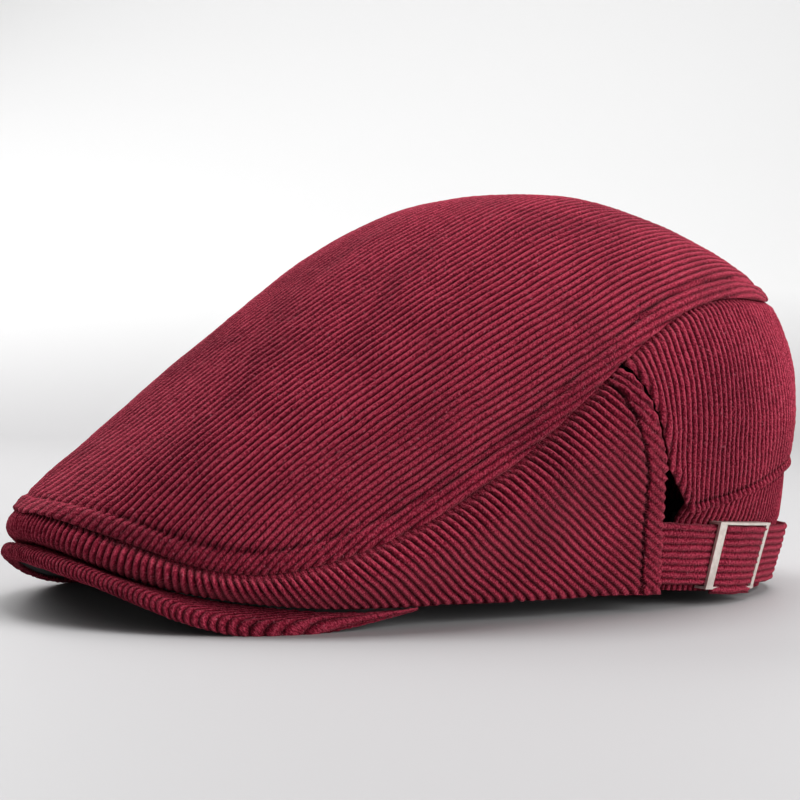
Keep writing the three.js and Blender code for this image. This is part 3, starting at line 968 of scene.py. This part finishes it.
def back_relief(points, rows):
    to_seam, _ = distance_to(points, seam_line)
    to_hem, _ = distance_to(points, back_hem_line)
    to_ridge, _ = distance_to(points, ridge_line)
    slack = wander(points, 26, 14) * 0.9 + wander(points, 12, 15) * 0.3
    slack = slack * smoothstep(to_seam, 0, 10)
    lift = 0.9 * pile_lift(rows.turns) + fluff(points, 16) * 1.4 + slack - 1.0 * bell(to_seam, 1.6)
    lift = lift + 0.8 * (1 - smoothstep(to_hem, 1.0, 7.0)) - 0.5 * bell(to_hem, 0.5)
    fold = bell(to_ridge - 0.9, 1.0)
    lift = lift + 0.55 * fold - 0.25 * bell(to_ridge - RIDGE_GROOVE, 0.7) - 0.7 * bell(to_ridge, 9.0)
    before = back_panel_surface(rows.a - EDGE_STEP, rows.r)
    front = unit(before - back_panel_surface(rows.a + EDGE_STEP, rows.r))
    frayed = 0.75 + 0.3 * wale_profile(rows.turns) + 1.0 * wander(points, 1.2, 17)
    push = front * (frayed * bell(to_hem, 1.1))[:, None]
    crush = np.clip(0.15 + 0.85 * fold + 0.4 * bell(to_hem, 2.5), 0, 1)
    # Painted shade: a dark line in the groove under the ridge's fold, handed on as crush below 0.
    return lift, push, crush - 1.0 * bell(to_ridge - RIDGE_GROOVE, 0.6)


back_panel = shell(
    "back_panel_cloth", back_panel_surface, np.linspace(0, 1, 90), back_panel_limits, back_across,
    COLUMN_TURNS, CLOTH, back_relief, by_column, by_height,
)
dress(back_panel, corduroy, "cap", "corduroy", "back_panel")


def band_relief(points, rows):
    """The band stands out where it shows above the strap and lies in shadow under the back panel's fold."""
    showing = smoothstep(rows.r, BAND_STEP * 0.95, BAND_STEP * 1.05) * (1 - smoothstep(rows.r, 0.8, 0.95))
    to_ridge, _ = distance_to(points, ridge_line)
    lift = pile_lift(rows.turns) * 0.7 + fluff(points, 18) + 0.5 * showing
    # Painted shadow under the back panel's fold, handed on as crush below 0.
    return lift, 0 * points, 0.3 - 1.6 * (1 - smoothstep(to_ridge, 2.8, 4.8))


back_band = shell(
    "back_band_cloth", band_surface, np.linspace(0, 1, 40), lambda r: BAND_STATIONS,
    lambda points, a, r: arc_from(wall(a, 0.1), a, BACK) / WALE, COLUMN_TURNS, BAND_THICKNESS,
    band_relief, by_column, by_height,
)
dress(back_band, corduroy, "cap", "corduroy", "back_band")

# ---- Strap ----

STRAP_PITCH = (STRAP_HIGH - STRAP_LOW) / STRAP_WALES
STRAP_COLUMN_TURNS = 0.2
STRAP_WALE_RELIEF = 0.6
STRAP_WEAVE_SEED = 23
UP = np.array([0, 0, 1.0])
strap_stations = np.linspace(STRAP_STATIONS[0], STRAP_STATIONS[1], 600)
strap_line = strap_path(0.0, strap_stations)
strap_length = np.concatenate([[0], np.cumsum(np.linalg.norm(np.diff(strap_line, axis=0), axis=1))])


def strap_relief(points, rows):
    edge = np.minimum(rows.column, STRAP_WALES - rows.column) * STRAP_PITCH
    waves = wander(points, 9, 19) * 0.35 + wander(points, 3.5, 20) * 0.2
    lift = pile_lift(rows.turns) * STRAP_WALE_RELIEF + waves - 0.6 * bell(edge, 0.5) + fluff(points, 21) * 1.8
    drift = wander(points, 5, 22) * 0.25
    return lift, UP * drift[:, None], np.clip(0.45 + 0.5 * wander(points, 4, 29), 0, 1)


def strap_across(points, a, r):
    return (a - STRAP_LOW) / STRAP_PITCH


strap = shell(
    "adjust_strap_cloth", strap_path, strap_stations[::-1][::2], lambda r: (STRAP_LOW, STRAP_HIGH),
    strap_across, STRAP_COLUMN_TURNS, CLOTH, strap_relief,
    lambda a, r, column: column + 0.15 * wander(strap_path(a, r), 12, STRAP_WEAVE_SEED),
    lambda a, r, points: np.interp(r, strap_stations, strap_length),
)
dress(strap, corduroy, "cap", "corduroy", "adjust_strap")

# The strap where it rides up over the buckle's middle bar, between the two end bars.

HUMP_ANGLES = (BUCKLE_ANGLES[0] + BUCKLE_FRONT_BAR + 0.1, BUCKLE_ANGLES[1] - BUCKLE_REAR_BAR * 0.75)
HUMP_RISE = 2.3
HUMP_HEIGHTS = (STRAP_LOW - 2.5, STRAP_HIGH - 0.2)
HUMP_CLOTH = 1.0
ARC_PER_DEGREE = 1.5


def hump_surface(height, degrees, depth=0.0):
    """The strap's own surface, risen in a blunt arch between the two end bars."""
    t = np.clip((np.asarray(degrees, float) - HUMP_ANGLES[0]) / (HUMP_ANGLES[1] - HUMP_ANGLES[0]), 0, 1)
    rise = HUMP_RISE * np.sin(np.pi * (0.04 + 0.92 * t)) ** 0.4
    return strap_cone(np.radians(degrees), height, depth - rise)


def hump_relief(points, rows):
    lift, push, crush = strap_relief(points, rows)
    start = rows.r - HUMP_ANGLES[0]
    end = HUMP_ANGLES[1] - rows.r
    frayed = (0.5 * wale_profile(rows.turns) + 0.3 * wander(points, 1.5, 24)) * bell(end, 0.5)
    return lift, push + STRAP_BACK * frayed[:, None] - STRAP_BACK * (0.3 * bell(start, 0.5))[:, None], crush


strap_hump = shell(
    "strap_over_bar", hump_surface, np.linspace(HUMP_ANGLES[1], HUMP_ANGLES[0], 40),
    lambda r: HUMP_HEIGHTS, strap_across, STRAP_COLUMN_TURNS, HUMP_CLOTH, hump_relief,
    lambda a, r, column: column + 0.1 * wander(hump_surface(a, r), 12, STRAP_WEAVE_SEED),
    lambda a, r, points: r * ARC_PER_DEGREE,
)
dress(strap_hump, corduroy, "buckle", "corduroy")

# ---- Peak ----

PEAK_ROWS = np.linspace(0, 1, 64)
PEAK_COLUMN = 0.36
PEAK_WALE = 1.5
PEAK_ROLL_RUN = 3.1


def peak_run(side, travel):
    """Flat place of a point of the peak's cover: x across the cap and y down the slice, as if unrolled."""
    inner, reach, rise, length, scale, half = peak_slice(side)
    forward = 1 - travel
    rolled = np.clip((forward - PEAK_TOP_END) / (PEAK_ROLL_END - PEAK_TOP_END), 0, 1)
    under = np.clip((forward - PEAK_ROLL_END) / (1 - PEAK_ROLL_END), 0, 1)
    run = length * np.minimum(forward / PEAK_TOP_END, 1) + PEAK_ROLL_RUN * half * rolled + PEAK_LIP * under
    return inner[..., 0] + reach[..., 0] * run, inner[..., 1] + reach[..., 1] * run


def peak_turns(a, r, column):
    return peak_run(a, r)[0] / PEAK_WALE + sway(peak_cover_surface(a, r), 25)


def peak_relief(points, rows):
    lift = pile_lift(rows.turns) * 0.7 + fluff(points, 26) * 1.8 + wander(points, 22, 27) * 0.35
    return lift, 0 * points, 0.25 + 0 * rows.turns


peak_cover = shell(
    "peak_top_cloth", peak_cover_surface, PEAK_ROWS, lambda r: (-PEAK_END, PEAK_END),
    lambda points, a, r: arc_from(points, a, 0.0), PEAK_COLUMN, PEAK_COVER_CLOTH, peak_relief, peak_turns,
    lambda a, r, points: -peak_run(a, r)[1],
)
dress(peak_cover, corduroy, "cap", "corduroy", "peak_top_cover")


LINING_COLUMN = 5.0
FINE_LINING = 3.0


def plain_relief(points, rows):
    return wander(points, 18, 28) * 0.25, 0 * points, 0 * rows.turns


def plain_shell(name, surface, rows, limits, spacing):
    """A piece of smooth lining cloth, its columns spaced in millimetres."""
    return shell(
        name, surface, rows, limits, lambda points, a, r: arc_from(points, a, a[0]), spacing, LINING,
        plain_relief, by_column, by_height, coarse=2 * spacing,
    )


peak_under = plain_shell(
    "peak_under_cloth", peak_under_surface, np.linspace(1, 0, 12), lambda r: (-0.93, 0.93), FINE_LINING,
)
dress(peak_under, black_cloth, "cap", "black_cloth", "peak_under_cover")

board = frame["nodes"]["peak_board"]
board.data.materials.clear()
board.data.materials.append(board_fibre)

# ---- Inside ----

def lining_crown(a, r, depth=0.0):
    return crown(a, r, TOP_LINING_DEPTH + depth)


lining_top = plain_shell(
    "lining_top_cloth", lining_crown, np.linspace(0, BACK, 61), lambda r: (-1.0, 1.0), LINING_COLUMN,
)
dress(lining_top, black_cloth, "cap", "black_cloth", "lining_top")

LINING_TOP = 0.96
LINING_ROWS = np.linspace(0.1, LINING_TOP, 14)
LINING_SEAM_GAP = 0.03
LINING_CLEARANCE = 0.03
LINING_SET_BACK = (0.2, 0.02)
LINING_SET_BACK_HEIGHTS = (0.35, 0.5)


def lining_hem(r):
    """Where a side lining stops short of its hem: clear of the strap low down, closer above it."""
    low, high = LINING_SET_BACK
    return float(side_hem(r)) - (low + (high - low) * float(smoothstep(r, *LINING_SET_BACK_HEIGHTS)))


def lining_wall(a, r, depth=0.0):
    return wall(a, r, WALL_LINING_DEPTH + depth)


lining_left = plain_shell(
    "lining_side_left_cloth", lining_wall, LINING_ROWS, lambda r: (LINING_SEAM_GAP, lining_hem(r)),
    LINING_COLUMN,
)
dress(lining_left, black_cloth, "cap", "black_cloth", "lining_side_left")
lining_right = plain_shell(
    "lining_side_right_cloth", lining_wall, LINING_ROWS,
    lambda r: (FULL_ROUND - lining_hem(r), FULL_ROUND - LINING_SEAM_GAP), LINING_COLUMN,
)
dress(lining_right, black_cloth, "cap", "black_cloth", "lining_side_right")


def lining_back_surface(station, climb, depth=0.0):
    low = ridge(np.asarray(station, float)) + BAND_TUCK + LINING_CLEARANCE
    return wall(station, low + (LINING_TOP - low) * climb, WALL_LINING_DEPTH + depth)


def lining_back_limits(climb):
    """The back lining's ends, a little inside the hems at about that row's height."""
    height = 0.35 + 0.6 * climb
    return float(back_hem(height)) + 0.06, FULL_ROUND - float(side_hem(height)) - 0.1


lining_back = plain_shell(
    "lining_back_cloth", lining_back_surface, np.linspace(0, 1, 14), lining_back_limits, LINING_COLUMN,
)
dress(lining_back, black_cloth, "cap", "black_cloth", "lining_back")


def sweatband_surface(a, height, depth=0.0):
    a, height = np.broadcast_arrays(np.asarray(a, float), np.asarray(height, float))
    inward = SWEATBAND_DEPTH + depth + SWEATBAND_LEAN * height
    point = lower_edge(a) - outward(lower_edge, a) * inward[..., None]
    point[..., 2] += height
    return point


sweatband = plain_shell(
    "sweatband_cloth", sweatband_surface, np.linspace(*SWEATBAND_HEIGHTS, 10),
    lambda r: (-SWEATBAND_STATION, SWEATBAND_STATION), FINE_LINING,
)
dress(sweatband, sweat_cloth, "cap", "sweatband_cloth", "sweatband")


def back_sweatband_surface(a, height, depth=0.0):
    return strap_path(height, a, BACK_SWEATBAND_DEPTH + depth)


sweatband_back = plain_shell(
    "sweatband_back_cloth", back_sweatband_surface, np.linspace(*BACK_SWEATBAND_HEIGHTS, 10),
    lambda r: BAND_STATIONS, FINE_LINING,
)
dress(sweatband_back, sweat_cloth, "cap", "sweatband_cloth", "sweatband_back")

# ---- Buckle ----

buckle = frame["nodes"]["slide_buckle"]
buckle.data.materials.clear()
buckle.data.materials.append(nickel)

# ---- Stage, light and camera ----

CAMERA_AZIMUTH = 61.5
CAMERA_ELEVATION = 1.9
CAMERA_DISTANCE = 0.698
CAMERA_LENS = 96.8
CAMERA_TARGET = Vector((-0.0013, -0.0014, 0.0618))
LIGHT_TARGET = Vector((0, 0, 0.06))

FLOOR_NEAR = -1.2
FLOOR_FAR = 0.9
FLOOR_HALF_WIDTH = 2.5
BEND_RADIUS = 0.5
WALL_TOP = 2.4
PAINTED_WALL_LIGHT_HEIGHT = 0.12


def stage_material():
    """Painted light on the backdrop: darker grey on the floor, turning lighter up the wall behind, where the
    lamps light it less.
    """
    material, nodes, links, shader = new_material("backdrop_with_painted_light")
    place = nodes.new("ShaderNodeTexCoord").outputs["Object"]
    parts = nodes.new("ShaderNodeSeparateXYZ")
    links.new(place, parts.inputs["Vector"])
    climb = add(nodes, "ShaderNodeMapRange", From_Min=0.0, From_Max=PAINTED_WALL_LIGHT_HEIGHT)
    links.new(parts.outputs["Z"], climb.inputs["Value"])
    colour = ramp(nodes, [(0.0, (0.375, 0.37, 0.375)), (1.0, (0.675, 0.675, 0.675))])
    links.new(climb.outputs["Result"], colour.inputs["Fac"])
    links.new(colour.outputs["Color"], shader.inputs["Base Color"])
    shader.inputs["Roughness"].default_value = 0.6
    return material


def make_backdrop():
    """A floor that curves up into a wall behind the cap, as one sheet, square to the camera's view."""
    profile = [(FLOOR_NEAR, 0.0), (FLOOR_FAR, 0.0)]
    for t in np.linspace(0.1, math.pi / 2, 12):
        profile.append((FLOOR_FAR + BEND_RADIUS * math.sin(t), BEND_RADIUS - BEND_RADIUS * math.cos(t)))
    profile.append((FLOOR_FAR + BEND_RADIUS, WALL_TOP))
    azimuth = math.radians(CAMERA_AZIMUTH)
    away = Vector((-math.sin(azimuth), math.cos(azimuth), 0))
    side = Vector((math.cos(azimuth), math.sin(azimuth), 0))
    points, faces = [], []
    for distance, up in profile:
        for s in (-1, 1):
            points.append(away * distance + side * (s * FLOOR_HALF_WIDTH) + Vector((0, 0, up)))
    for i in range(len(profile) - 1):
        faces.append((2 * i, 2 * i + 1, 2 * i + 3, 2 * i + 2))
    data = bpy.data.meshes.new("backdrop")
    data.from_pydata(points, [], faces)
    data.polygons.foreach_set("use_smooth", [True] * len(faces))
    backdrop = bpy.data.objects.new("backdrop", data)
    bpy.context.scene.collection.objects.link(backdrop)
    backdrop.data.materials.append(stage_material())


def direction(azimuth, elevation):
    """From the cap towards a camera or light; azimuth 0 is in front, 90 on the wearer's left."""
    a, e = math.radians(azimuth), math.radians(elevation)
    return Vector((math.sin(a) * math.cos(e), -math.cos(a) * math.cos(e), math.sin(e)))


def make_camera():
    back = direction(CAMERA_AZIMUTH, CAMERA_ELEVATION)
    data = bpy.data.cameras.new("camera")
    data.lens = CAMERA_LENS
    data.sensor_width = 36.0
    data.clip_start = 0.01
    camera = bpy.data.objects.new("camera", data)
    bpy.context.scene.collection.objects.link(camera)
    camera.location = CAMERA_TARGET + back * CAMERA_DISTANCE
    camera.rotation_euler = (-back).to_track_quat("-Z", "Y").to_euler()
    bpy.context.scene.camera = camera


def add_light(name, azimuth, elevation, distance, size, power):
    """A soft square light aimed at the cap."""
    back = direction(azimuth, elevation)
    data = bpy.data.lights.new(name, "AREA")
    data.size = size
    data.energy = power
    light = bpy.data.objects.new(name, data)
    bpy.context.scene.collection.objects.link(light)
    light.location = LIGHT_TARGET + back * distance
    light.rotation_euler = (-back).to_track_quat("-Z", "Y").to_euler()


make_backdrop()
make_camera()
add_light("overhead", 170, 74, 1.3, 1.2, 25)
add_light("front_fill", 40, 30, 1.5, 1.2, 0.5)
add_light("left_rim", 285, 34, 1.3, 0.9, 12)
add_light("right_side", 118, 16, 1.3, 0.9, 17)

world = bpy.data.worlds.new("studio")
world.use_nodes = True
world.node_tree.nodes["Background"].inputs["Color"].default_value = (1, 1, 1, 1)
world.node_tree.nodes["Background"].inputs["Strength"].default_value = 0.22
bpy.context.scene.world = world
bpy.context.scene.view_settings.view_transform = "Standard"
